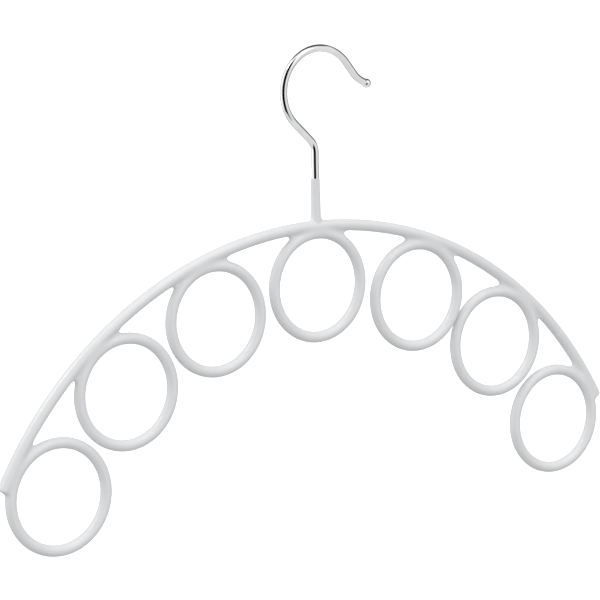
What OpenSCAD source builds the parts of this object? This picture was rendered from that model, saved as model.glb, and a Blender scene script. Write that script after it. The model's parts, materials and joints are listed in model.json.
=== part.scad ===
// Scarf hanger: seven welded wire rings under a bow of wire, dipped in white vinyl, with a bare
// chrome hook on top. Millimetres, +X along the bow, +Y towards the back, +Z up. The origin is the
// underside of the hook's crown, the line that bears on the wardrobe rail.

/* [Bow] */
// Radius of the bow along the middle of its wire
bow_r = 232.6; // [225:0.1:245]
// Angle from the crest to the left end of the bow, in degrees
bow_left_reach = 62.2; // [61:0.1:65]
// Angle from the crest to the right end of the bow, in degrees
bow_right_reach = 61.3; // [61:0.1:65]
// Diameter of the steel wire in the bow and the rings
wire_d = 4.5; // [4.3:0.1:4.8]
// Thickness of the vinyl on the bow
bow_vinyl = 1.0; // [0.9:0.05:1.2]

/* [Rings] */
// Clear opening of one ring, vinyl to vinyl
ring_hole = 52.8; // [50:0.1:53.5]
// Angle from one ring to the next about the bow's centre, in degrees
ring_pitch = 19.85; // [19.7:0.01:20]
// Thickness of the vinyl on a ring
ring_vinyl = 0.9; // [0.85:0.05:1]
// How far each ring wire is pressed into the bow wire by its weld
weld_set_down = 0.45; // [0.3:0.05:0.6]
// Radius of the vinyl meniscus that closes the crotch between a ring and the bow
web_r = 1.65; // [1.4:0.05:1.9]
// Thickness of the vinyl web behind that meniscus
web_t = 2.6; // [2:0.1:3.2]

/* [Hook] */
// Diameter of the hook's wire
hook_d = 4.2; // [4:0.1:4.4]
// Height of the straight shank above the bow's crest, up to the first bend
shank_h = 42.1; // [38:0.1:46]
// Inside radius of the rail loop
loop_inside_r = 21.95; // [20:0.05:24]
// Diameter of the ball upset on the tip
ball_d = 5.2; // [5:0.1:5.8]

/* [Stem coat] */
// Height of the vinyl on the shank above the bow's crest
stem_h = 27.4; // [20:0.1:32]
// Outside diameter of the stem's vinyl at its top edge
stem_top_d = 4.9; // [4.8:0.1:5.4]
// Outside diameter of the stem's vinyl at its foot
stem_foot_d = 5.7; // [5.5:0.1:6.2]

/* [Hidden] */
ring_count = 7;
RING_WIRES = [for (i = [1:ring_count]) str("ring_wire_", i)];
RING_COATS = [for (i = [1:ring_count]) str("ring_coat_", i)];

// Facets round the wire, and the length of one facet along a bend
$fn = 48;
bend_facet = 4;
// Overlap that keeps a cut from ending on a face
bite = 0.5;
// A bent length of the hook is a hair thicker than the straight lengths, which run a little way into
// it at both ends
bend_swell = 0.02;
bend_lap = 0.3;
// Degrees by which each hand-placed ring sits off its even place, from the left
ring_drift = [0, -0.1, -0.25, 0.1, 0.7, 0.05, -0.1];

// Wire and skin radii
wire_r = wire_d / 2;
bow_skin_r = wire_r + bow_vinyl;
ring_skin_r = wire_r + ring_vinyl;
ring_r = ring_hole / 2 + ring_skin_r;
ring_path_r = bow_r - ring_r - wire_d + weld_set_down;
ball_r = ball_d / 2;
hook_r = hook_d / 2;
hook_bend_r = hook_r + bend_swell;
loop_r = loop_inside_r + hook_bend_r;

// Bend radii and sweeps of the hook, walked from the shank to the ball
offset_bend_r = 9.25;
offset_sweep = 46.2;
rise_len = 14.3;
loop_sweep = 188.2;
fall_len = 7.9;
flare_bend_r = 16.4;
flare_sweep = 26.4;
tail_len = 4.4;

// Steps along a path in the hanger's plane: p is [x, z] and heading is in degrees from +X.
// side is 1 for a left turn and -1 for a right turn.
function ahead(p, heading, len) = p + len * [cos(heading), sin(heading)];
function turn_centre(p, heading, r, side) = p + side * r * [-sin(heading), cos(heading)];
function after_turn(p, heading, r, side, sweep) =
    turn_centre(p, heading, r, side)
    + side * r * [sin(heading + side * sweep), -cos(heading + side * sweep)];

// The hook's path, with the bow's centre at [0, 0]
offset_start = [0, bow_r + shank_h];
offset_end = after_turn(offset_start, 90, offset_bend_r, 1, offset_sweep);
rise_heading = 90 + offset_sweep;
loop_start = ahead(offset_end, rise_heading, rise_len);
loop_centre = turn_centre(loop_start, rise_heading, loop_r, -1);
loop_end = after_turn(loop_start, rise_heading, loop_r, -1, loop_sweep);
fall_heading = rise_heading - loop_sweep;
flare_start = ahead(loop_end, fall_heading, fall_len);
flare_centre = turn_centre(flare_start, fall_heading, flare_bend_r, 1);
flare_end = after_turn(flare_start, fall_heading, flare_bend_r, 1, flare_sweep);
tail_heading = fall_heading + flare_sweep;

// The rail seat, under the crown of the loop, is the origin
seat = loop_centre + [0, loop_inside_r];

// Where a ring hangs, counted from 1 at the left
function ring_angle(i) = (i - (ring_count + 1) / 2) * ring_pitch + ring_drift[i - 1];
function on_bow(radius, angle) = radius * [sin(angle), cos(angle)];
function ring_centre(i) = on_bow(ring_path_r, ring_angle(i));

// Angle at a ring's centre, from straight up to the bow, where a circle of the web's radius
// touches both the ring's skin and the bow's skin: the three sides of the triangle are known
web_reach = ring_r + ring_skin_r + web_r;
web_depth = bow_r - bow_skin_r - web_r;
web_angle = acos((pow(web_depth, 2) - pow(ring_path_r, 2) - pow(web_reach, 2))
                 / (2 * ring_path_r * web_reach));

// The vinyl in the groove along a weld: how far it stays below the ring's skin, how far it runs each
// way from the weld, and the radius of its round back
groove_dip = 0.15;
groove_reach = 7.8;
groove_back_r = 30;

// The two menisci at the stem's foot
foot_web_r = 2.2;
foot_web_t = 3;

// Rounding of the vinyl over the cut ends of the bow
end_round = 0.9;
end_coat = 1.1;
end_swell = 0.1;
end_taper = 2.5;
// Height of the softened top edge of the stem's vinyl
stem_lip = 0.25;

vinyl = [0.93, 0.93, 0.94];
steel = [0.55, 0.56, 0.58];
chrome = [0.8, 0.81, 0.83];

// Stands the XY drawing plane up as the hanger's XZ plane, with the rail seat at the origin
module in_plane() {
    rotate([90, 0, 0])
        translate([-seat[0], -seat[1], 0])
            children();
}

// A straight length of round bar in the drawing plane
module straight(p, heading, len, r) {
    translate([p[0], p[1], 0])
        rotate([0, 0, heading])
            rotate([0, 90, 0])
                cylinder(h = len, r = r);
}

// Facets in a full turn of the given radius
function turn_facets(radius) = max($fn, ceil(2 * PI * radius / bend_facet));

// A bent length of round bar in the drawing plane, swept left from one bearing about its centre
module bend(centre, bend_radius, from, sweep, r) {
    translate([centre[0], centre[1], 0])
        rotate([0, 0, from])
            rotate_extrude(angle = sweep, $fn = turn_facets(bend_radius))
                translate([bend_radius, 0])
                    circle(r = r, $fn = 48);
}

// A closed ring of round bar in the drawing plane
module hoop(centre, hoop_r, r) {
    translate([centre[0], centre[1], 0])
        rotate_extrude($fn = 96)
            translate([hoop_r, 0])
                circle(r = r, $fn = 48);
}

// The bow as a bar of the given radius
module bow_bar(r) {
    bend([0, 0], bow_r, 90 - bow_right_reach, bow_left_reach + bow_right_reach, r);
}

module ring_bar(i, r) {
    hoop(ring_centre(i), ring_r, r);
}

module shank_bar(r, lap = 0) {
    straight([0, bow_r], 90, shank_h + lap, r);
}

// One vinyl web in the crotch between a ring and the bow: what is left of a wedge between the two
// round skins, behind a meniscus circle cut from its open end. side is 1 on the ring's left.
module ring_web(i, side) {
    c = ring_centre(i);
    up = 90 - ring_angle(i);
    meniscus = ahead(c, up + side * web_angle, web_reach);
    on_ring = ahead(c, up + side * web_angle, ring_r);
    on_arc = on_bow(bow_r, ring_angle(i) - side * asin(web_reach * sin(web_angle) / web_depth));
    difference() {
        linear_extrude(height = web_t, center = true)
            difference() {
                polygon([ahead(c, up, ring_r), on_ring, meniscus, on_arc, ahead(c, up, ring_r + wire_d)]);
                translate(meniscus)
                    circle(r = web_r);
            }
        ring_bar(i, ring_skin_r);
        bow_bar(bow_skin_r);
    }
}

// The vinyl that fills the groove where a ring runs along the bow. It is thickest over the weld and
// thins both ways until the two round skins cover it.
module groove_fill(i) {
    c = ring_centre(i);
    up = 90 - ring_angle(i);
    ring_side = asin(groove_reach / ring_r);
    bow_side = asin(groove_reach / bow_r);
    off_axis = groove_back_r - ring_skin_r + groove_dip;
    intersection() {
        linear_extrude(height = 2 * ring_skin_r, center = true)
            polygon(concat(
                [for (s = [-1:0.5:1]) ahead(c, up + s * ring_side, ring_r)],
                [for (s = [1:-0.5:-1]) on_bow(bow_r, ring_angle(i) - s * bow_side)]
            ));
        translate([c[0], c[1], 0])
            rotate([0, 0, up])
                rotate([0, 90, 0])
                    linear_extrude(height = ring_r + wire_d)
                        intersection() {
                            translate([off_axis, 0])
                                circle(r = groove_back_r, $fn = 96);
                            translate([-off_axis, 0])
                                circle(r = groove_back_r, $fn = 96);
                        }
    }
}

// One vinyl web in the corner between the stem and the top of the bow
module foot_web(side) {
    foot = on_bow(bow_r, 0) + [side * stem_foot_d / 2, bow_skin_r];
    meniscus = foot + [side * foot_web_r, foot_web_r];
    linear_extrude(height = foot_web_t, center = true)
        difference() {
            polygon([
                foot - [side * bite, bite],
                [meniscus[0], foot[1] - bite],
                meniscus,
                [foot[0] - side * bite, meniscus[1]],
            ]);
            translate(meniscus)
                circle(r = foot_web_r);
        }
}

// The vinyl stem without its bore: a slightly tapered sleeve with a softened top edge
module stem_body() {
    body_h = stem_h - stem_lip;
    translate([0, bow_r, 0])
        rotate([-90, 0, 0]) {
            cylinder(h = body_h, r1 = stem_foot_d / 2, r2 = stem_top_d / 2);
            translate([0, 0, body_h])
                cylinder(h = stem_lip, r1 = stem_top_d / 2, r2 = stem_top_d / 2 - stem_lip / 2);
        }
}

// The vinyl over one cut end of the bow, turned about the wire: it swells a little and has a
// rounded rim
module bow_cap(angle, heading) {
    p = on_bow(bow_r, angle);
    rim = [bow_skin_r + end_swell - end_round, end_coat - end_round];
    translate([p[0], p[1], 0])
        rotate([0, 0, heading])
            rotate([0, 90, 0])
                rotate_extrude() {
                    polygon([
                        [0, -end_taper],
                        [bow_skin_r - end_swell, -end_taper],
                        [rim[0] + end_round, 0],
                        [rim[0] + end_round, rim[1]],
                        [rim[0], rim[1]],
                        [rim[0], end_coat],
                        [0, end_coat],
                    ]);
                    intersection() {
                        translate(rim)
                            circle(r = end_round);
                        translate(rim)
                            square(end_round);
                    }
                }
}

// A straight length of the hook, run into the bends at its ends
module hook_run(p, heading, len) {
    straight(ahead(p, heading, -bend_lap), heading, len + 2 * bend_lap, hook_r);
}

// A ball on the wire at p, with its poles in line with the wire
module ball_at(p, heading, r) {
    translate([p[0], p[1], 0])
        rotate([0, 0, heading])
            rotate([0, 90, 0])
                sphere(r = r);
}

// The chrome hook: shank, offset bend, rise, rail loop, fall, flare, tail and ball
module hook() {
    ball_centre = ahead(flare_end, tail_heading, tail_len);
    color(chrome)
        in_plane() {
            difference() {
                shank_bar(hook_r, bend_lap);
                bow_bar(wire_r);
            }
            bend(turn_centre(offset_start, 90, offset_bend_r, 1), offset_bend_r, 0, offset_sweep, hook_bend_r);
            hook_run(offset_end, rise_heading, rise_len);
            bend(loop_centre, loop_r, fall_heading + 90, loop_sweep, hook_bend_r);
            hook_run(loop_end, fall_heading, fall_len);
            bend(flare_centre, flare_bend_r, fall_heading - 90, flare_sweep, hook_bend_r);
            straight(ahead(flare_end, tail_heading, -bend_lap), tail_heading, tail_len + bend_lap, hook_r);
            ball_at(ball_centre, tail_heading, ball_r);
        }
}

// The vinyl sleeve on the foot of the shank
module stem_coat() {
    color(vinyl)
        in_plane()
            difference() {
                union() {
                    stem_body();
                    foot_web(1);
                    foot_web(-1);
                }
                bow_bar(bow_skin_r);
                shank_bar(hook_r);
            }
}

// The bow's steel core
module bow_wire() {
    color(steel)
        in_plane()
            bow_bar(wire_r);
}

// The outside of the bow's vinyl, closed over both cut ends
module bow_skin() {
    bow_bar(bow_skin_r);
    bow_cap(bow_right_reach, -bow_right_reach);
    bow_cap(-bow_left_reach, 180 + bow_left_reach);
}

// The vinyl round the bow
module bow_coat() {
    color(vinyl)
        in_plane()
            difference() {
                bow_skin();
                bow_bar(wire_r);
                for (i = [1:ring_count])
                    ring_bar(i, wire_r);
                shank_bar(hook_r);
            }
}

// One ring's steel core, set down into the bow wire where it is welded
module ring_wire(i) {
    color(steel)
        in_plane()
            difference() {
                ring_bar(i, wire_r);
                bow_bar(wire_r);
            }
}

// The vinyl round one ring, run into the bow's with a web at each end of the joint. The end rings
// have no web outside, where the bow has stopped.
module ring_coat(i) {
    color(vinyl)
        in_plane() {
            difference() {
                union() {
                    ring_bar(i, ring_skin_r);
                    groove_fill(i);
                }
                ring_bar(i, wire_r);
                bow_skin();
            }
            if (i > 1)
                ring_web(i, 1);
            if (i < ring_count)
                ring_web(i, -1);
        }
}

hook();
stem_coat();
bow_wire();
bow_coat();
for (i = [1:ring_count]) {
    ring_wire(i);
    ring_coat(i);
}
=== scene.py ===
"""The looks of the scarf hanger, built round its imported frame.

A white vinyl skin runs without a seam over the bow, the seven rings and the foot of the shank. A bare
chrome hook stands in it. The steel cores stay where the frame has them. Sizes are in millimetres in the
frame's own axes (+X along the bow, +Y to the back, +Z up, origin under the crown of the hook) and are
turned into metres where a mesh is made.
"""

import json
import logging
import math
from contextlib import contextmanager
from dataclasses import dataclass, field
from enum import Enum
from typing import ClassVar, Iterator

import bpy
import numpy as np
from mathutils import Matrix, Vector

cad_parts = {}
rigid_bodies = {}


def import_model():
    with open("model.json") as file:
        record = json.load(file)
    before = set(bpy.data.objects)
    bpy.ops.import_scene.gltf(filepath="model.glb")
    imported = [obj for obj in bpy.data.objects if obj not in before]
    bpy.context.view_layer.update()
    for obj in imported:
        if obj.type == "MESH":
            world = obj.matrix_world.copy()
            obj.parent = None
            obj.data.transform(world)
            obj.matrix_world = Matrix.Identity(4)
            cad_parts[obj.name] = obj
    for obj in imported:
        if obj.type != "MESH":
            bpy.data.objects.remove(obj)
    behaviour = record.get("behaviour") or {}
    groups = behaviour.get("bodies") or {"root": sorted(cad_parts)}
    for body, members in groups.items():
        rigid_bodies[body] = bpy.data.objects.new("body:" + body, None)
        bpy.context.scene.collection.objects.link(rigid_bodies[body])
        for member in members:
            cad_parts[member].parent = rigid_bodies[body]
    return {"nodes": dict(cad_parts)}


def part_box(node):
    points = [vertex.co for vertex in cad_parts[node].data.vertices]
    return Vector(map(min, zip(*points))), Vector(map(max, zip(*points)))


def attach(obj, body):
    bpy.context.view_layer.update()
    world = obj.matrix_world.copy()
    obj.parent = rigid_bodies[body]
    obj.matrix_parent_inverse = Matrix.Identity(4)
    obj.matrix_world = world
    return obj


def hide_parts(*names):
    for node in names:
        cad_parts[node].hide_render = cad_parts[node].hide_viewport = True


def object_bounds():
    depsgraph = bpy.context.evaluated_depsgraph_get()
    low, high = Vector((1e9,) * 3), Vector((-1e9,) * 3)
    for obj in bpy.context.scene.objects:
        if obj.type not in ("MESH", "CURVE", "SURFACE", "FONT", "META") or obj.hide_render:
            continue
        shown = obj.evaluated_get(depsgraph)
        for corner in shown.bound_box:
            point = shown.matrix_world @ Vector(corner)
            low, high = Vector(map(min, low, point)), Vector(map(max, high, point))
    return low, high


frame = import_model()
cad_low, cad_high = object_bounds()

MM = 0.001
RINGS = range(1, 8)
log = logging.getLogger("scarf_hanger")


class Slot(Enum):
    """The record's material slots."""

    VINYL = "white_vinyl"
    CHROME = "chrome_wire"
    STEEL = "steel_core"


class Turn(Enum):
    """Which way a wire bends, seen from the front and walking along it."""

    LEFT = 1
    RIGHT = -1


def deselect_all() -> None:
    """Leaves edit mode if need be and clears the selection, the frame's own nodes included."""
    if bpy.context.mode != "OBJECT":
        bpy.ops.object.mode_set(mode="OBJECT")
    bpy.ops.object.select_all(action="DESELECT")


def activate(piece: bpy.types.Object) -> None:
    """Selects one object alone and makes it the active one.

    Args:
        piece: the object to work on.
    """
    deselect_all()
    piece.select_set(True)
    bpy.context.view_layer.objects.active = piece


@contextmanager
def edit_mode(piece: bpy.types.Object) -> Iterator[None]:
    """Opens an object in edit mode with nothing selected, and closes it again.

    Args:
        piece: the mesh object to edit.
    """
    activate(piece)
    bpy.ops.object.mode_set(mode="EDIT")
    bpy.ops.mesh.select_all(action="DESELECT")
    yield
    bpy.ops.object.mode_set(mode="OBJECT")


def finish_piece(piece: bpy.types.Object, name: str) -> None:
    """Names a piece, bakes its place into its mesh and rides it on the hanger's one body.

    Args:
        piece: the finished mesh object.
        name: the name it goes by.
    """
    activate(piece)
    bpy.ops.object.transform_apply(location=True, rotation=True, scale=True)
    piece.name = name
    piece.data.name = name
    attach(piece, "root")
    log.info("%s: %d vertices, %d faces", name, len(piece.data.vertices), len(piece.data.polygons))


def vertex_array(mesh: bpy.types.Mesh) -> np.ndarray:
    """Reads a mesh's vertices.

    Args:
        mesh: the mesh to read.

    Returns:
        An array of shape (count, 3), in millimetres.
    """
    flat = np.empty(len(mesh.vertices) * 3)
    mesh.vertices.foreach_get("co", flat)
    return flat.reshape(-1, 3) / MM


def set_vertices(mesh: bpy.types.Mesh, points: np.ndarray) -> None:
    """Writes a mesh's vertices.

    Args:
        mesh: the mesh to change.
        points: an array of shape (count, 3), in millimetres.
    """
    mesh.vertices.foreach_set("co", (points * MM).ravel())
    mesh.update()


def link(tree: bpy.types.NodeTree, source: bpy.types.NodeSocket, target: bpy.types.NodeSocket) -> None:
    """Joins two sockets.

    Args:
        tree: the node tree both are in.
        source: the output.
        target: the input.
    """
    tree.links.new(source, target)


def math_node(
    tree: bpy.types.NodeTree, operation: str, *values: bpy.types.NodeSocket | float
) -> bpy.types.NodeSocket:
    """Adds a math node.

    Args:
        tree: the node tree.
        operation: the node's operation.
        values: its inputs, as sockets or numbers.

    Returns:
        The node's output.
    """
    node = tree.nodes.new("ShaderNodeMath")
    node.operation = operation
    for socket, value in zip(node.inputs, values):
        if isinstance(value, bpy.types.NodeSocket):
            link(tree, value, socket)
        else:
            socket.default_value = value
    return node.outputs[0]


def ramp(
    tree: bpy.types.NodeTree,
    value: bpy.types.NodeSocket,
    low: float,
    high: float,
    to_low: float = 0.0,
    to_high: float = 1.0,
) -> bpy.types.NodeSocket:
    """Maps a value smoothly from one range to another and clamps it.

    Args:
        tree: the node tree.
        value: the value to map.
        low: where the range starts.
        high: where it ends.
        to_low: the result at low.
        to_high: the result at high.

    Returns:
        The mapped value.
    """
    node = tree.nodes.new("ShaderNodeMapRange")
    node.interpolation_type = "SMOOTHSTEP"
    link(tree, value, node.inputs["Value"])
    node.inputs["From Min"].default_value = low
    node.inputs["From Max"].default_value = high
    node.inputs["To Min"].default_value = to_low
    node.inputs["To Max"].default_value = to_high
    return node.outputs["Result"]


def noise(
    tree: bpy.types.NodeTree,
    place: bpy.types.NodeSocket,
    size_mm: bpy.types.NodeSocket | float,
    detail: float = 2.0,
) -> bpy.types.NodeSocket:
    """Adds a noise texture.

    Args:
        tree: the node tree.
        place: the coordinates, in metres.
        size_mm: the size of its patches, as a socket or a number.
        detail: how many finer layers it has.

    Returns:
        The noise's value, 0 to 1.
    """
    node = tree.nodes.new("ShaderNodeTexNoise")
    node.inputs["Detail"].default_value = detail
    link(tree, place, node.inputs["Vector"])
    if isinstance(size_mm, bpy.types.NodeSocket):
        link(tree, math_node(tree, "DIVIDE", 1 / MM, size_mm), node.inputs["Scale"])
    else:
        node.inputs["Scale"].default_value = 1 / (size_mm * MM)
    return node.outputs["Fac"]


@dataclass(frozen=True)
class SurfaceDetail:
    """The node group that every finish shares: a patchy film and a fine grain, by place on the object."""

    cloud_layers: float = 3.0
    grain_layers: float = 1.0
    cloud_share: float = 0.92
    grain_share: float = 0.08
    depth_mm: float = 0.1

    def build(self) -> bpy.types.NodeTree:
        """Builds the group.

        Returns:
            A group that gives a cloud mask, a grain mask and a bumped normal.
        """
        group = bpy.data.node_groups.new("surface_detail", "ShaderNodeTree")
        for name in ("Cloud mm", "Grain mm", "Relief"):
            group.interface.new_socket(name, in_out="INPUT", socket_type="NodeSocketFloat")
        for name in ("Cloud", "Grain"):
            group.interface.new_socket(name, in_out="OUTPUT", socket_type="NodeSocketFloat")
        group.interface.new_socket("Normal", in_out="OUTPUT", socket_type="NodeSocketVector")
        inputs = group.nodes.new("NodeGroupInput")
        outputs = group.nodes.new("NodeGroupOutput")
        place = group.nodes.new("ShaderNodeTexCoord").outputs["Object"]
        cloud = noise(group, place, inputs.outputs["Cloud mm"], self.cloud_layers)
        grain = noise(group, place, inputs.outputs["Grain mm"], self.grain_layers)
        swells = math_node(group, "MULTIPLY", cloud, self.cloud_share)
        specks = math_node(group, "MULTIPLY", grain, self.grain_share)
        bump = group.nodes.new("ShaderNodeBump")
        bump.inputs["Distance"].default_value = self.depth_mm * MM
        link(group, inputs.outputs["Relief"], bump.inputs["Strength"])
        link(group, math_node(group, "ADD", swells, specks), bump.inputs["Height"])
        link(group, cloud, outputs.inputs["Cloud"])
        link(group, grain, outputs.inputs["Grain"])
        link(group, bump.outputs["Normal"], outputs.inputs["Normal"])
        return group


@dataclass(frozen=True)
class Finish:
    """One procedural finish.

    cloud_band and grain_band are the stretches of the masks in which the colour and the roughness turn
    from their dark and low ends to their light and high ones.
    """

    name: str
    light: tuple[float, float, float]
    dark: tuple[float, float, float]
    rough_low: float
    rough_high: float
    cloud_mm: float
    grain_mm: float
    relief: float
    metallic: float = 0.0
    ior: float = 1.5
    cloud_band: tuple[float, float] = (0.35, 0.65)
    grain_band: tuple[float, float] = (0.3, 0.7)

    def build(self, group: bpy.types.NodeTree) -> bpy.types.Material:
        """Makes the material.

        Args:
            group: the shared surface group.

        Returns:
            The material.
        """
        material = bpy.data.materials.new(self.name)
        material.use_nodes = True
        tree = material.node_tree
        shader = tree.nodes["Principled BSDF"]
        detail = tree.nodes.new("ShaderNodeGroup")
        detail.node_tree = group
        detail.inputs["Cloud mm"].default_value = self.cloud_mm
        detail.inputs["Grain mm"].default_value = self.grain_mm
        detail.inputs["Relief"].default_value = self.relief
        mix = tree.nodes.new("ShaderNodeMix")
        mix.data_type = "RGBA"
        mix.inputs["A"].default_value = (*self.dark, 1)
        mix.inputs["B"].default_value = (*self.light, 1)
        link(tree, ramp(tree, detail.outputs["Cloud"], *self.cloud_band), mix.inputs["Factor"])
        link(tree, mix.outputs["Result"], shader.inputs["Base Color"])
        rough = ramp(tree, detail.outputs["Grain"], *self.grain_band, self.rough_low, self.rough_high)
        link(tree, rough, shader.inputs["Roughness"])
        link(tree, detail.outputs["Normal"], shader.inputs["Normal"])
        shader.inputs["Metallic"].default_value = self.metallic
        shader.inputs["IOR"].default_value = self.ior
        return material


VINYL = Finish(
    name="white_vinyl",
    light=(0.800, 0.812, 0.822),
    dark=(0.785, 0.798, 0.810),
    rough_low=0.09,
    rough_high=0.14,
    cloud_mm=11.0,
    grain_mm=1.3,
    relief=0.3,
)
CHROME = Finish(
    name="chrome_wire",
    light=(0.86, 0.87, 0.88),
    dark=(0.80, 0.81, 0.83),
    rough_low=0.02,
    rough_high=0.04,
    cloud_mm=6.0,
    grain_mm=0.5,
    relief=0.06,
    metallic=1.0,
)
STEEL = Finish(
    name="steel_core",
    light=(0.56, 0.55, 0.53),
    dark=(0.36, 0.33, 0.30),
    rough_low=0.3,
    rough_high=0.5,
    cloud_mm=5.0,
    grain_mm=0.4,
    relief=0.4,
    metallic=1.0,
)


def set_material(piece: bpy.types.Object, material: bpy.types.Material) -> None:
    """Gives a piece its one material.

    Args:
        piece: the object.
        material: what it is made of.
    """
    piece.data.materials.clear()
    piece.data.materials.append(material)


@dataclass(frozen=True)
class BowLine:
    """The arc that the bow's wire follows, in millimetres, with its reach either way in degrees."""

    radius: float = 232.6
    left_reach: float = 62.2
    right_reach: float = 61.3
    wire_d: float = 4.5

    @property
    def centre(self) -> tuple[float, float]:
        """The arc's centre as x and z, from the left end and the top of the steel core in the frame."""
        low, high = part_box("bow_wire")
        left = low.x / MM + self.radius * math.sin(math.radians(self.left_reach))
        left += self.wire_d / 2 * math.sin(math.radians(self.left_reach))
        return left, high.z / MM - self.radius - self.wire_d / 2

    @property
    def crest(self) -> tuple[float, float]:
        """The crest of the wire's middle line, as x and z."""
        x, z = self.centre
        return x, z + self.radius


@dataclass(frozen=True)
class RingLine:
    """The circle that one ring's wire follows, in millimetres."""

    x: float
    z: float
    radius: float
    wire_d: ClassVar[float] = 4.5

    @classmethod
    def from_frame(cls, number: int) -> "RingLine":
        """Reads a ring from its steel core in the frame.

        Args:
            number: the ring, counted from 1 at the left.

        Returns:
            The ring's own circle.
        """
        low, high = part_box(f"ring_wire_{number}")
        outer = (high.x - low.x) / MM / 2
        return cls((high.x + low.x) / MM / 2, low.z / MM + outer, outer - cls.wire_d / 2)


def smooth_union(a: np.ndarray, b: np.ndarray, reach: float | np.ndarray) -> np.ndarray:
    """Joins two distance fields with a fillet.

    Args:
        a: the first field's distances.
        b: the second field's distances.
        reach: how near the two surfaces are when the fillet starts.

    Returns:
        The joined field's distances.
    """
    overlap = np.maximum(reach - np.abs(a - b), 0) / reach
    return np.minimum(a, b) - overlap * overlap * reach / 4


def round_cut(a: np.ndarray, b: np.ndarray, radius: float) -> np.ndarray:
    """Keeps what lies in both of two distance fields, with a round edge between them.

    Args:
        a: the first field's distances.
        b: the second field's distances.
        radius: the edge's radius.

    Returns:
        The distances of what is kept.
    """
    corner = np.hypot(np.maximum(a + radius, 0), np.maximum(b + radius, 0)) - radius
    return np.where((a > -radius) & (b > -radius), corner, np.maximum(a, b))


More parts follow.
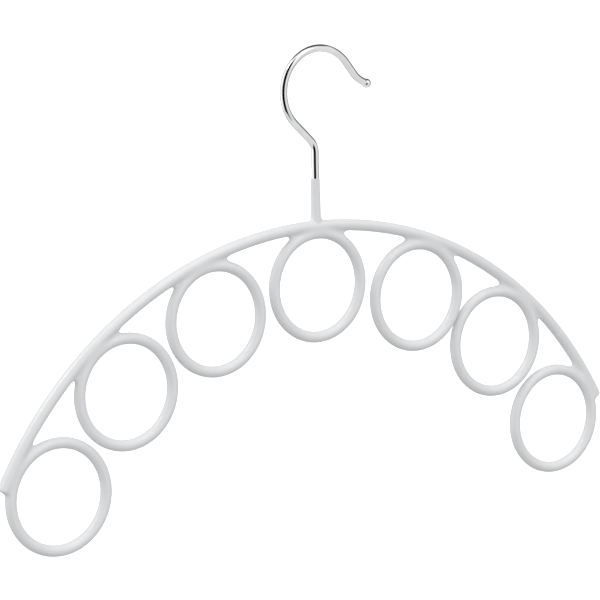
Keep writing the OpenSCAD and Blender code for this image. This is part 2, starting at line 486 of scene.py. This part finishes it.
@dataclass
class SkinField:
    """The vinyl skin's surface as a distance field: how far each point is from it, negative inside.

    Every number is a size of the skin in millimetres, but for the waves, which say how often the film
    gets thick and thin in a full turn along the bow or round a ring, and least_slope. seam_fill, web_blend
    and the two stem fillets say how near two surfaces are when the skin starts to bridge them.
    """

    bow: BowLine = field(default_factory=BowLine)
    rings: list[RingLine] = field(default_factory=list)
    bow_skin_r: float = 3.25
    ring_skin_r: float = 3.15
    seam_fill: float = 2.7
    meniscus_r: float = 1.65
    web_t: float = 2.6
    web_blend: float = 1.3
    end_coat: float = 0.7
    end_round: float = 1.5
    stem_h: float = 27.4
    stem_top_r: float = 2.45
    stem_foot_r: float = 2.85
    stem_fillet: float = 3.4
    stem_side_fillet: float = 0.3
    stem_lip: float = 0.3
    unevenness: float = 0.035
    bow_waves: tuple[int, int] = (9, 23)
    bow_wave_start: float = 0.6
    ring_waves: tuple[int, int] = (2, 5)
    web_flat: float = 0.05
    near_axis: float = 0.1
    least_slope: float = 0.05

    def film(self, angle: np.ndarray, waves: tuple[int, int], start: float) -> np.ndarray:
        """How much the film lacks of its full thickness, by place along a wire.

        Args:
            angle: the place along the wire, in radians.
            waves: how many slow and how many quick waves there are in a full turn.
            start: where the slow waves start, in radians.

        Returns:
            The missing thickness, one value a point.
        """
        slow, quick = waves
        return self.unevenness * (1 + np.sin(slow * angle + start) * np.cos(quick * angle)) / 2

    def bow_bar(self, p: np.ndarray) -> np.ndarray:
        """Distances from the coated bow, with its two rounded ends.

        Args:
            p: points of shape (count, 3).

        Returns:
            One distance a point.
        """
        bx, bz = self.bow.centre
        x, y, z = p[:, 0] - bx, p[:, 1], p[:, 2] - bz
        film = self.film(np.arctan2(x, z), self.bow_waves, self.bow_wave_start)
        bar = np.hypot(np.hypot(x, z) - self.bow.radius, y) - self.bow_skin_r + film
        for reach in (-self.bow.left_reach, self.bow.right_reach):
            end = math.radians(reach)
            side = math.copysign(1, reach)
            along = side * (x * math.cos(end) - z * math.sin(end))
            bar = round_cut(bar, along - self.end_coat, self.end_round)
        return bar

    def stem(self, p: np.ndarray) -> np.ndarray:
        """Distances from the tapered stem.

        Args:
            p: points of shape (count, 3).

        Returns:
            One distance a point.
        """
        cx, cz = self.bow.crest
        height = p[:, 2] - cz
        share = np.clip(height / self.stem_h, 0, 1)
        radius = self.stem_foot_r + (self.stem_top_r - self.stem_foot_r) * share
        side = np.hypot(p[:, 0] - cx, p[:, 1]) - radius
        return round_cut(side, np.maximum(height - self.stem_h, -height), self.stem_lip)

    def web(self, p: np.ndarray, ring: RingLine, side: int) -> np.ndarray:
        """Distances from the web that closes one crotch between a ring and the bow.

        The web ends in a meniscus: a circle that touches the ring's skin and the bow's skin.

        Args:
            p: points of shape (count, 3).
            ring: the ring.
            side: -1 for the crotch on the ring's left, 1 for the one on its right.

        Returns:
            One distance a point.
        """
        bx, bz = self.bow.centre
        out = np.array([ring.x - bx, ring.z - bz])
        path_r = float(np.hypot(*out))
        out /= path_r
        across = np.array([out[1], -out[0]]) * side
        reach = ring.radius + self.ring_skin_r + self.meniscus_r
        depth = self.bow.radius - self.bow_skin_r - self.meniscus_r
        cos_a = (depth**2 - path_r**2 - reach**2) / (2 * path_r * reach)
        sin_a = math.sqrt(1 - cos_a**2)
        to_meniscus = out * cos_a + across * sin_a
        meniscus = np.array([ring.x, ring.z]) + reach * to_meniscus
        from_bow = meniscus - np.array([bx, bz])
        from_bow /= np.hypot(*from_bow)
        flat = p[:, [0, 2]]
        from_ring = flat - np.array([ring.x, ring.z])
        from_centre = flat - np.array([bx, bz])
        past_ring = from_ring @ np.array([to_meniscus[1], -to_meniscus[0]]) * side
        past_bow = from_centre @ np.array([from_bow[1], -from_bow[0]]) * side
        other_side = -(from_ring @ across)
        outline = np.maximum.reduce([
            past_ring,
            past_bow,
            other_side,
            ring.radius - np.hypot(*from_ring.T),
            np.hypot(*from_centre.T) - self.bow.radius,
        ])
        outline = np.maximum(outline, self.meniscus_r - np.hypot(*(flat - meniscus).T))
        return round_cut(outline, np.abs(p[:, 1]) - self.web_t / 2, self.web_t / 2 - self.web_flat)

    def distance(self, p: np.ndarray) -> np.ndarray:
        """Distances from the whole skin.

        Args:
            p: points of shape (count, 3).

        Returns:
            One distance a point.
        """
        gaps = np.stack([np.hypot(p[:, 0] - r.x, p[:, 2] - r.z) for r in self.rings])
        nearest = gaps.argmin(0)
        bow = self.bow_bar(p)
        x_off = p[:, 0] - self.bow.crest[0]
        sideways = x_off**2 / (x_off**2 + p[:, 1] ** 2 + self.near_axis**2)
        fillet = self.stem_side_fillet + (self.stem_fillet - self.stem_side_fillet) * sideways**2
        skin = smooth_union(bow, self.stem(p), fillet)
        for number, ring in enumerate(self.rings):
            own = nearest == number
            q = p[own]
            turn = np.arctan2(q[:, 2] - ring.z, q[:, 0] - ring.x)
            film = self.film(turn, self.ring_waves, number)
            hoop = np.hypot(gaps[number][own] - ring.radius, q[:, 1]) - self.ring_skin_r + film
            part = smooth_union(skin[own], hoop, self.seam_fill)
            if number > 0:
                part = smooth_union(part, self.web(q, ring, -1), self.web_blend)
            if number < len(self.rings) - 1:
                part = smooth_union(part, self.web(q, ring, 1), self.web_blend)
            skin[own] = part
        return skin

    def gradient(self, p: np.ndarray, step: float = 0.01) -> np.ndarray:
        """Slope of the field, which points out of the skin.

        Args:
            p: points of shape (count, 3).
            step: how far to each side the slope is measured.

        Returns:
            One vector a point.
        """
        slope = np.empty_like(p)
        for axis in range(3):
            shift = np.zeros(3)
            shift[axis] = step
            slope[:, axis] = self.distance(p + shift) - self.distance(p - shift)
        return slope / (2 * step)

    def pull(self, p: np.ndarray, rounds: int) -> np.ndarray:
        """Moves points onto the surface.

        Args:
            p: points of shape (count, 3).
            rounds: how often each point takes a step.

        Returns:
            The moved points.
        """
        for _ in range(rounds):
            slope = self.gradient(p)
            length = np.maximum((slope * slope).sum(1), self.least_slope)
            p = p - (self.distance(p) / length)[:, None] * slope
        return p


@dataclass
class VinylSkin:
    """The one dipped skin over bow, rings and the foot of the hook.

    Sizes are in millimetres and angles in degrees. The plugs fill the crotches before the remesh, and
    ring_slack keeps neighbouring rings apart in it. Both are gone once the skin is drawn onto its shape.
    """

    shape: SkinField
    voxel: float = 0.8
    tube_sides: int = 24
    bow_steps: int = 220
    ring_steps: int = 96
    ring_slack: float = 0.45
    plug_size: tuple[float, float, float] = (3.4, 1.15, 0.85)
    plug_bearing: float = 28.5
    plug_lean: float = 20.0
    plug_gap: float = 0.3
    plug_segments: int = 16
    plug_rings: int = 10
    smooth_share: float = 0.5
    smooth_rounds: int = 3
    first_pulls: int = 3
    last_pulls: int = 4
    finish: Finish = VINYL

    def bow_tube(self) -> None:
        """Spins a circle along the bow's arc and closes both ends."""
        line = self.shape.bow
        bx, bz = line.centre
        over = math.degrees(self.shape.end_coat / line.radius)
        start = math.radians(line.left_reach + over)
        sweep = math.radians(line.left_reach + line.right_reach + 2 * over)
        end = Vector((bx - line.radius * math.sin(start), 0, bz + line.radius * math.cos(start)))
        bpy.ops.mesh.primitive_circle_add(
            vertices=self.tube_sides,
            radius=self.shape.bow_skin_r * MM,
            fill_type="NGON",
            location=end * MM,
            rotation=(0, math.pi / 2 - start, 0),
        )
        tube = bpy.context.object
        with edit_mode(tube):
            bpy.ops.mesh.select_all(action="SELECT")
            bpy.ops.mesh.spin(
                steps=self.bow_steps, angle=-sweep, center=(bx * MM, 0, bz * MM), axis=(0, 1, 0)
            )
            bpy.ops.mesh.select_all(action="SELECT")
            bpy.ops.mesh.normals_make_consistent(inside=False)

    def ring_tubes(self) -> None:
        """Adds a torus for each ring, and a plug in each crotch that the web closes."""
        bx, bz = self.shape.bow.centre
        last = len(self.shape.rings) - 1
        for number, ring in enumerate(self.shape.rings):
            bpy.ops.mesh.primitive_torus_add(
                location=(ring.x * MM, 0, ring.z * MM),
                rotation=(math.pi / 2, 0, 0),
                major_segments=self.ring_steps,
                minor_segments=self.tube_sides,
                major_radius=ring.radius * MM,
                minor_radius=(self.shape.ring_skin_r - self.ring_slack) * MM,
            )
            turn = math.atan2(ring.x - bx, ring.z - bz)
            for side in (-1, 1):
                if (number == 0 and side < 0) or (number == last and side > 0):
                    continue
                self.crotch_plug(ring, turn, side)

    def crotch_plug(self, ring: RingLine, turn: float, side: int) -> None:
        """Adds a small ellipsoid where a web will be, so that the remesh closes the crotch.

        Args:
            ring: the ring.
            turn: the ring's bearing from the bow's centre, from straight up.
            side: -1 for the ring's left, 1 for its right.
        """
        bearing = turn + side * math.radians(self.plug_bearing)
        reach = ring.radius + self.shape.ring_skin_r + self.plug_gap
        place = Vector((ring.x + reach * math.sin(bearing), 0, ring.z + reach * math.cos(bearing)))
        bpy.ops.mesh.primitive_uv_sphere_add(
            segments=self.plug_segments,
            ring_count=self.plug_rings,
            radius=MM,
            location=place * MM,
            rotation=(0, turn + side * math.radians(self.plug_lean), 0),
            scale=self.plug_size,
        )

    def stem_sleeve(self) -> None:
        """Adds the tapered sleeve on the hook's shank."""
        cx, cz = self.shape.bow.crest
        bpy.ops.mesh.primitive_cone_add(
            vertices=self.tube_sides * 2,
            radius1=self.shape.stem_foot_r * MM,
            radius2=self.shape.stem_top_r * MM,
            depth=self.shape.stem_h * MM,
            location=Vector((cx, 0, cz + self.shape.stem_h / 2)) * MM,
        )

    def build(self) -> bpy.types.Object:
        """Joins the tubes, remeshes them to one closed surface and draws it onto the exact shape.

        Returns:
            The finished skin.
        """
        deselect_all()
        before = set(bpy.data.objects)
        self.bow_tube()
        self.ring_tubes()
        self.stem_sleeve()
        tubes = [piece for piece in bpy.data.objects if piece not in before]
        deselect_all()
        for piece in tubes:
            piece.select_set(True)
        bpy.context.view_layer.objects.active = tubes[0]
        bpy.ops.object.join()
        skin = bpy.context.object
        activate(skin)
        bpy.ops.object.transform_apply(location=True, rotation=True, scale=True)
        remesh = skin.modifiers.new("one skin", "REMESH")
        remesh.mode = "VOXEL"
        remesh.voxel_size = self.voxel * MM
        remesh.adaptivity = 0
        bpy.ops.object.modifier_apply(modifier=remesh.name)
        self.settle(skin)
        bpy.ops.object.shade_smooth()
        finish_piece(skin, "vinyl_skin")
        points = vertex_array(skin.data)
        normals = self.shape.gradient(points)
        normals /= np.linalg.norm(normals, axis=1)[:, None]
        skin.data.normals_split_custom_set_from_vertices(normals)
        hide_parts("bow_coat", "stem_coat", *[f"ring_coat_{number}" for number in RINGS])
        return skin

    def settle(self, skin: bpy.types.Object) -> None:
        """Evens out the remeshed vertices and puts them on the exact surface.

        Args:
            skin: the remeshed skin.
        """
        mesh = skin.data
        set_vertices(mesh, self.shape.pull(vertex_array(mesh), self.first_pulls))
        with edit_mode(skin):
            bpy.ops.mesh.select_all(action="SELECT")
            bpy.ops.mesh.vertices_smooth(factor=self.smooth_share, repeat=self.smooth_rounds)
        set_vertices(mesh, self.shape.pull(vertex_array(mesh), self.last_pulls))

    def dress(self, skin: bpy.types.Object, group: bpy.types.NodeTree) -> None:
        """Gives the skin its vinyl.

        Args:
            skin: the finished skin.
            group: the shared surface group.
        """
        set_material(skin, self.finish.build(group))


@dataclass
class ChromeHook:
    """The hook, swept as one round wire along its own path and closed with the ball on its tip.

    Sizes are in millimetres, radii are those of the wire's middle line, and angles are in degrees. The
    path goes up the shank, round the shoulder to the left, along the rise, over the loop, down the fall,
    round the flare and out to the ball. heading, x and z say where the walk along it has got to.
    """

    wire_r: float = 2.1
    shank_h: float = 42.1
    weld_depth: float = 0.2
    shoulder_r: float = 9.25
    shoulder_sweep: float = 46.2
    rise: float = 14.3
    loop_r: float = 24.05
    loop_sweep: float = 188.2
    fall: float = 7.9
    flare_r: float = 16.4
    flare_sweep: float = 26.4
    tip: float = 4.4
    ball_r: float = 2.6
    ball_steps: int = 14
    ball_open: float = 0.1
    neck_share: float = 0.985
    neck_run: float = 0.12
    sides: int = 48
    bend_step: float = 1.5
    least_steps: int = 8
    join_gap: float = 0.001
    crease: float = 50.0
    finish: Finish = CHROME
    heading: float = 90.0
    x: float = 0.0
    z: float = 0.0

    def move(self, length: float) -> Vector:
        """Walks on along the heading.

        Args:
            length: how far, in millimetres.

        Returns:
            The way walked, in metres.
        """
        way = Vector((math.cos(math.radians(self.heading)), 0, math.sin(math.radians(self.heading))))
        self.x += way.x * length
        self.z += way.z * length
        return way * length * MM

    def run(self, length: float) -> None:
        """Extrudes a straight length.

        Args:
            length: in millimetres.
        """
        bpy.ops.mesh.extrude_region_move(TRANSFORM_OT_translate={"value": self.move(length)})

    def bend(self, radius: float, sweep: float, turn: Turn) -> None:
        """Spins a bent length.

        Args:
            radius: of the wire's middle line, in millimetres.
            sweep: how far the wire turns, in degrees.
            turn: to which side.
        """
        side = math.radians(self.heading + 90 * turn.value)
        cx = self.x + radius * math.cos(side)
        cz = self.z + radius * math.sin(side)
        bpy.ops.mesh.spin(
            steps=max(self.least_steps, round(sweep / self.bend_step)),
            angle=turn.value * math.radians(sweep),
            center=(cx * MM, 0, cz * MM),
            axis=(0, 1, 0),
        )
        back = side + math.pi + turn.value * math.radians(sweep)
        self.x = cx + radius * math.cos(back)
        self.z = cz + radius * math.sin(back)
        self.heading += turn.value * sweep

    def ball(self) -> None:
        """Swells the wire's end to a ball, ring by ring, and closes it in one point."""
        neck = math.asin(self.wire_r * self.neck_share / self.ball_r)
        radius = self.wire_r
        place = -self.ball_r * math.cos(neck)
        for step in range(self.ball_steps + 1):
            turn = neck + (math.pi - self.ball_open - neck) * step / self.ball_steps
            new_place = -self.ball_r * math.cos(turn)
            new_radius = self.ball_r * math.sin(turn)
            self.run(new_place - place if step else self.neck_run)
            centre = Vector((self.x, 0, self.z)) * MM
            bpy.ops.transform.resize(value=[new_radius / radius] * 3, center_override=centre)
            place, radius = new_place, new_radius
        self.run(self.ball_r - place)
        bpy.ops.mesh.merge(type="CENTER")

    def build(self, line: BowLine) -> bpy.types.Object:
        """Sweeps the hook from the crest of the bow up, round and down to the ball.

        Args:
            line: the bow, whose crest the shank stands on.

        Returns:
            The finished hook.
        """
        self.x, self.z = line.crest
        self.z += line.wire_d / 2 - self.weld_depth
        deselect_all()
        bpy.ops.mesh.primitive_circle_add(
            vertices=self.sides,
            radius=self.wire_r * MM,
            fill_type="NGON",
            location=(self.x * MM, 0, self.z * MM),
        )
        wire = bpy.context.object
        with edit_mode(wire):
            bpy.ops.mesh.select_all(action="SELECT")
            self.run(self.shank_h - line.wire_d / 2 + self.weld_depth)
            self.bend(self.shoulder_r, self.shoulder_sweep, Turn.LEFT)
            self.run(self.rise)
            self.bend(self.loop_r, self.loop_sweep, Turn.RIGHT)
            self.run(self.fall)
            self.bend(self.flare_r, self.flare_sweep, Turn.LEFT)
            self.run(self.tip - self.ball_r)
            self.ball()
            bpy.ops.mesh.select_all(action="SELECT")
            bpy.ops.mesh.remove_doubles(threshold=self.join_gap * MM)
            bpy.ops.mesh.normals_make_consistent(inside=False)
        bpy.ops.object.shade_smooth_by_angle(angle=math.radians(self.crease))
        finish_piece(wire, "chrome_hook")
        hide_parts("hook")
        return wire

    def dress(self, wire: bpy.types.Object, group: bpy.types.NodeTree) -> None:
        """Gives the hook its chrome.

        Args:
            wire: the finished hook.
            group: the shared surface group.
        """
        set_material(wire, self.finish.build(group))


@dataclass
class SteelCores:
    """The steel wires sealed inside the vinyl, which stay as the frame has them."""

    names: tuple[str, ...] = ("bow_wire", *(f"ring_wire_{number}" for number in RINGS))
    finish: Finish = STEEL

    def dress(self, group: bpy.types.NodeTree) -> None:
        """Gives every core its steel.

        Args:
            group: the shared surface group.
        """
        steel = self.finish.build(group)
        for name in self.names:
            core = frame["nodes"][name]
            set_material(core, steel)
            log.info("%s: kept from the frame", name)


def bearing_vector(bearing: float, height: float) -> Vector:
    """Turns a bearing and a height into a direction.

    Args:
        bearing: degrees from straight in front, positive to the right.
        height: degrees above the horizon.

    Returns:
        A vector of length one.
    """
    turn, rise = math.radians(bearing), math.radians(height)
    return Vector((math.sin(turn) * math.cos(rise), -math.cos(turn) * math.cos(rise), math.sin(rise)))


@dataclass(frozen=True)
class Patch:
    """One bright or dark patch of the studio, seen only in reflections.

    Bearings are degrees from straight in front, positive to the right, and heights are degrees above
    the horizon. wide and high are half the patch's width and height, soft is how far its edge fades, and
    level is its light.
    """

    bearing: float
    height: float
    wide: float
    high: float
    soft: float
    level: float


@dataclass(frozen=True)
class Viewpoint:
    """Where the photograph was taken from, and with how long a lens.

    Angles are in degrees: turn from straight in front, positive to the right, rise above the horizon,
    and roll about the line of sight. place and the two clipping distances are in metres, lens and sensor
    in millimetres.
    """

    turn: float = -34.515
    rise: float = 8.783
    roll: float = -1.003
    place: tuple[float, float, float] = (-0.97327, -1.39286, 0.12236)
    lens: float = 182.34
    sensor: float = 36.0
    clip_near: float = 0.05
    clip_far: float = 60.0


@dataclass
class Studio:
    """Soft light from all round, stronger from above, with a white floor far below the hanger.

    matte values light the matte part of every surface, gloss values and patches show in reflections.
    low is the light from straight below and high the light from straight above. Floor sizes are in
    metres, but for the size of its clouds.
    """

    view: Viewpoint = Viewpoint()
    floor_drop: float = 0.32
    floor_size: float = 60.0
    floor_cloud_mm: float = 400.0
    floor_band: tuple[float, float] = (0.3, 0.7)
    floor_tones: tuple[float, float] = (0.93, 0.95)
    floor_rough: float = 0.9
    floor_glow: float = 0.25
    backdrop: float = 1.0
    matte_low: float = 0.385
    matte_high: float = 1.04
    key_bearing: float = -40.0
    key_height: float = 55.0
    key_edge: float = 0.2
    key_level: float = 0.40
    gloss_low: float = 0.80
    gloss_high: float = 0.92
    patches: tuple[Patch, ...] = (
        Patch(bearing=0, height=90, wide=181, high=14, soft=14, level=0.5),
        Patch(bearing=150, height=50, wide=62, high=30, soft=12, level=0.04),
        Patch(bearing=148, height=-8, wide=38, high=26, soft=26, level=0.30),
        Patch(bearing=-172, height=-5, wide=13, high=40, soft=14, level=0.40),
        Patch(bearing=85, height=-12, wide=30, high=18, soft=20, level=0.50),
        Patch(bearing=98, height=20, wide=36, high=13, soft=14, level=0.20),
        Patch(bearing=92, height=60, wide=34, high=18, soft=14, level=0.08),
        Patch(bearing=-125, height=20, wide=32, high=50, soft=16, level=1.2),
        Patch(bearing=-162, height=68, wide=26, high=14, soft=12, level=0.25),
        Patch(bearing=-100, height=54, wide=16, high=9, soft=5, level=4.5),
        Patch(bearing=12, height=50, wide=20, high=32, soft=16, level=1.5),
        Patch(bearing=-5, height=66, wide=42, high=10, soft=16, level=1.5),
        Patch(bearing=-42, height=8, wide=35, high=48, soft=6, level=0.002),
    )

    def world(self) -> None:
        """Builds the light by direction: plain for the matte light, patched for the reflections."""
        world = bpy.data.worlds.new("studio")
        bpy.context.scene.world = world
        world.use_nodes = True
        tree = world.node_tree
        tree.nodes.clear()
        way = tree.nodes.new("ShaderNodeTexCoord").outputs["Generated"]
        split = tree.nodes.new("ShaderNodeSeparateXYZ")
        link(tree, way, split.inputs[0])
        x, y, z = split.outputs
        plain = self.slope(tree, z, self.matte_low, self.matte_high)
        matte = math_node(tree, "ADD", plain, self.key(tree, way))
        shown = self.slope(tree, z, self.gloss_low, self.gloss_high)
        front = math_node(tree, "MULTIPLY", y, -1.0)
        bearing = math_node(tree, "DEGREES", math_node(tree, "ARCTAN2", x, front))
        height = math_node(tree, "DEGREES", math_node(tree, "ARCSINE", z))
        for patch in self.patches:
            shown = self.add_patch(tree, shown, bearing, height, patch)
        rays = tree.nodes.new("ShaderNodeLightPath")
        level = self.choose(tree, rays.outputs["Is Glossy Ray"], matte, shown)
        level = self.choose(tree, rays.outputs["Is Camera Ray"], level, self.backdrop)
        background = tree.nodes.new("ShaderNodeBackground")
        background.inputs["Color"].default_value = (1, 1, 1, 1)
        link(tree, level, background.inputs["Strength"])
        output = tree.nodes.new("ShaderNodeOutputWorld")
        link(tree, background.outputs[0], output.inputs["Surface"])

    def slope(
        self, tree: bpy.types.NodeTree, z: bpy.types.NodeSocket, low: float, high: float
    ) -> bpy.types.NodeSocket:
        """Makes light that grows evenly from straight below to straight above.

        Args:
            tree: the node tree.
            z: the upward part of the direction.
            low: the light from below.
            high: the light from above.

        Returns:
            The light.
        """
        light = ramp(tree, z, -1, 1, low, high)
        light.node.interpolation_type = "LINEAR"
        return light

    def key(self, tree: bpy.types.NodeTree, way: bpy.types.NodeSocket) -> bpy.types.NodeSocket:
        """Makes the wide soft key light in front of the hanger and above it.

        Args:
            tree: the node tree.
            way: the direction.

        Returns:
            The light.
        """
        aim = tree.nodes.new("ShaderNodeVectorMath")
        aim.operation = "DOT_PRODUCT"
        link(tree, way, aim.inputs[0])
        aim.inputs[1].default_value = bearing_vector(self.key_bearing, self.key_height)
        return ramp(tree, aim.outputs["Value"], self.key_edge, 1.0, 0.0, self.key_level)

    def choose(
        self,
        tree: bpy.types.NodeTree,
        share: bpy.types.NodeSocket,
        low: bpy.types.NodeSocket,
        high: bpy.types.NodeSocket | float,
    ) -> bpy.types.NodeSocket:
        """Mixes two values.

        Args:
            tree: the node tree.
            share: how much of the second one to take.
            low: the first value.
            high: the second value.

        Returns:
            The mixed value.
        """
        kept = math_node(tree, "MULTIPLY", low, math_node(tree, "SUBTRACT", 1.0, share))
        return math_node(tree, "ADD", kept, math_node(tree, "MULTIPLY", share, high))

    def add_patch(
        self,
        tree: bpy.types.NodeTree,
        under: bpy.types.NodeSocket,
        bearing: bpy.types.NodeSocket,
        height: bpy.types.NodeSocket,
        patch: Patch,
    ) -> bpy.types.NodeSocket:
        """Lays one patch over the light so far.

        Args:
            tree: the node tree.
            under: the light so far.
            bearing: the direction's bearing.
            height: the direction's height.
            patch: the patch.

        Returns:
            The light with the patch in it.
        """
        off = math_node(tree, "SUBTRACT", bearing, patch.bearing)
        off = math_node(tree, "ABSOLUTE", math_node(tree, "WRAP", off, 180.0, -180.0))
        side = math_node(tree, "SUBTRACT", off, patch.wide)
        rise = math_node(tree, "ABSOLUTE", math_node(tree, "SUBTRACT", height, patch.height))
        rise = math_node(tree, "SUBTRACT", rise, patch.high)
        edge = math_node(tree, "MAXIMUM", side, rise)
        inside = ramp(tree, edge, -patch.soft / 2, patch.soft / 2, 1.0, 0.0)
        return self.choose(tree, inside, under, patch.level)

    def floor(self) -> None:
        """Lays a large pale floor well below the object."""
        deselect_all()
        bpy.ops.mesh.primitive_plane_add(
            size=self.floor_size, location=(0, 0, cad_low.z - self.floor_drop)
        )
        floor = bpy.context.object
        floor.name = "floor"
        material = bpy.data.materials.new("pale_floor")
        material.use_nodes = True
        tree = material.node_tree
        shader = tree.nodes["Principled BSDF"]
        place = tree.nodes.new("ShaderNodeTexCoord").outputs["Object"]
        cloud = noise(tree, place, self.floor_cloud_mm)
        tone = ramp(tree, cloud, *self.floor_band, *self.floor_tones)
        link(tree, tone, shader.inputs["Base Color"])
        shader.inputs["Roughness"].default_value = self.floor_rough
        shader.inputs["Specular IOR Level"].default_value = 0.0
        shader.inputs["Emission Color"].default_value = (1, 1, 1, 1)
        shader.inputs["Emission Strength"].default_value = self.floor_glow
        set_material(floor, material)
        floor.visible_diffuse = False
        floor.visible_glossy = False

    def camera(self) -> None:
        """Stands the camera where the photograph was taken from."""
        roll = math.radians(self.view.roll)
        back = bearing_vector(self.view.turn, self.view.rise)
        right = Vector((0, 0, 1)).cross(back).normalized()
        up = back.cross(right)
        rolled_right = math.cos(roll) * right + math.sin(roll) * up
        rolled_up = math.cos(roll) * up - math.sin(roll) * right
        data = bpy.data.cameras.new("camera")
        data.sensor_width = self.view.sensor
        data.lens = self.view.lens
        data.clip_start = self.view.clip_near
        data.clip_end = self.view.clip_far
        camera = bpy.data.objects.new("camera", data)
        bpy.context.scene.collection.objects.link(camera)
        turned = Matrix((rolled_right, rolled_up, back)).transposed().to_4x4()
        camera.matrix_world = Matrix.Translation(self.view.place) @ turned
        bpy.context.scene.camera = camera

    def build(self) -> None:
        """Sets up camera, light and floor."""
        self.camera()
        self.world()
        self.floor()
        bpy.context.scene.view_settings.view_transform = "Standard"
        bpy.context.scene.view_settings.look = "None"


def main() -> None:
    """Builds the studio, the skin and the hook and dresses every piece."""
    logging.basicConfig(level=logging.INFO, format="%(name)s: %(message)s")
    Studio().build()
    shape = SkinField(rings=[RingLine.from_frame(number) for number in RINGS])
    skin = VinylSkin(shape)
    skin_piece = skin.build()
    hook = ChromeHook()
    hook_piece = hook.build(shape.bow)
    group = SurfaceDetail().build()
    skin.dress(skin_piece, group)
    hook.dress(hook_piece, group)
    SteelCores().dress(group)


if __name__ == "__main__":
    main()
